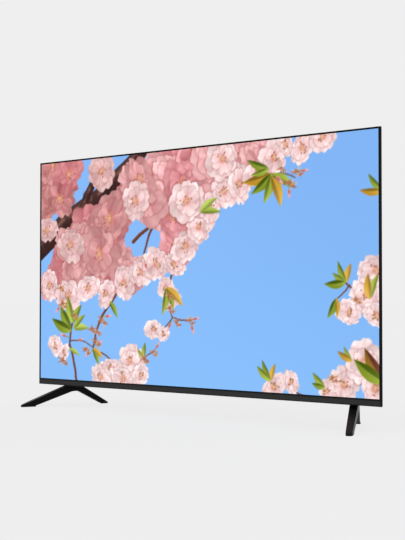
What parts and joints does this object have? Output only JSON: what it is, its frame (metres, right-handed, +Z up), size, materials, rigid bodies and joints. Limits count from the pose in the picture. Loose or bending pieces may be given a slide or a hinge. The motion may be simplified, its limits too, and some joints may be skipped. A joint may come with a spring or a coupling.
{
  "type": "flat screen television",
  "caption": "Flat-panel television with a thin dark rim, a deeper lower strip and two splayed wedge legs; moulded rear bulge with plug recesses, sockets and a wall-mount pattern.",
  "frame": {"origin": "on the floor, under the middle of the set's width and the middle of its legs' depth", "axes": "+X to the right as seen from the front, +Y towards the rear, +Z up; the picture faces -Y"},
  "size_m": [1.218, 0.263, 0.7666],
  "materials": {
    "rim_plastic": "satin, dark",
    "chin_plastic": "fine matte",
    "picture_film": "semi-matte anti-glare, lit",
    "panel_glass": "clear",
    "dark_film": "smooth",
    "cushion_foam": "matte foam",
    "drive_film": "smooth amber film",
    "circuit_board": "solder mask",
    "frame_plastic": "fine matte",
    "light_sheet": "frosted",
    "reflector_foil": "soft white",
    "bar_lacquer": "white lacquer",
    "chip_resin": "phosphor yellow",
    "clear_lens": "clear moulded",
    "zinc_steel": "zinc coated",
    "cover_plastic": "fine moulded grain",
    "leg_plastic": "satin",
    "sole_rubber": "matte",
    "screw_steel": "black plated",
    "bright_screw": "zinc plated",
    "sink_aluminium": "mill finish",
    "connector_plastic": "moulded black",
    "chip_epoxy": "matte epoxy",
    "coil_tape": "yellow tape",
    "can_sleeve": "shrink sleeve",
    "magnet_steel": "dark zinc",
    "cone_paper": "coated paper",
    "signal_window": "dark red, clear to infrared",
    "pin_brass": "plated",
    "ribbon_film": "flat ribbon"
  },
  "bodies": {
    "set": {"bezel_frame": "rim_plastic", "chin_cover": "chin_plastic", "front_polariser": "picture_film", "colour_filter_glass": "panel_glass", "tft_glass": "panel_glass", "rear_polariser": "dark_film", "panel_cushions": "cushion_foam", "panel_films": "drive_film", "source_boards": "circuit_board", "middle_frame": "frame_plastic", "prism_sheet": "light_sheet", "diffuser_sheet": "light_sheet", "diffuser_plate": "light_sheet", "diffuser_posts": "frame_plastic", "reflector_sheet": "reflector_foil", "led_bars": "bar_lacquer", "led_chips": "chip_resin", "led_lenses": "clear_lens", "rear_chassis": "zinc_steel", "wall_mount_bracket": "zinc_steel", "wall_mount_nuts": "zinc_steel", "leg_brackets": "zinc_steel", "main_board": "circuit_board", "main_board_chips": "chip_epoxy", "heat_sink": "sink_aluminium", "shield_can": "zinc_steel", "power_board": "circuit_board", "transformers": "coil_tape", "capacitors": "can_sleeve", "timing_board": "circuit_board", "panel_ribbon": "ribbon_film", "wifi_module": "circuit_board", "control_board": "circuit_board", "remote_receiver": "chip_epoxy", "remote_window": "signal_window", "hdmi_sockets": "zinc_steel", "usb_sockets": "zinc_steel", "lan_socket": "connector_plastic", "optical_socket": "connector_plastic", "aerial_socket": "zinc_steel", "headphone_socket": "connector_plastic", "mains_inlet": "connector_plastic", "mains_pins": "pin_brass", "speaker_box_left": "connector_plastic", "speaker_box_right": "connector_plastic", "speaker_magnet_left": "magnet_steel", "speaker_magnet_right": "magnet_steel", "button_switch": "connector_plastic", "rear_cover": "cover_plastic", "cover_screws": "screw_steel", "board_screws": "bright_screw", "leg_left": "leg_plastic", "leg_right": "leg_plastic", "leg_screws": "screw_steel", "foot_pads": "sole_rubber"},
    "power_button": {"power_button": "connector_plastic", "switch_plunger": "connector_plastic"},
    "left_cone": {"speaker_cone_left": "cone_paper"},
    "right_cone": {"speaker_cone_right": "cone_paper"}
  },
  "joints": [
    {"name": "power_button_press", "type": "slide", "parent": "set", "child": "power_button", "axis": [0, 0, 1], "range_m": [0, 0.0006], "stiffness_N_per_m": 2000},
    {"name": "left_cone_travel", "type": "slide", "parent": "set", "child": "left_cone", "axis": [0, 0, 1], "range_m": [-0.0008, 0.0008], "stiffness_N_per_m": 1000},
    {"name": "right_cone_travel", "type": "slide", "parent": "set", "child": "right_cone", "axis": [0, 0, 1], "range_m": [-0.0008, 0.0008], "stiffness_N_per_m": 1000}
  ]
}
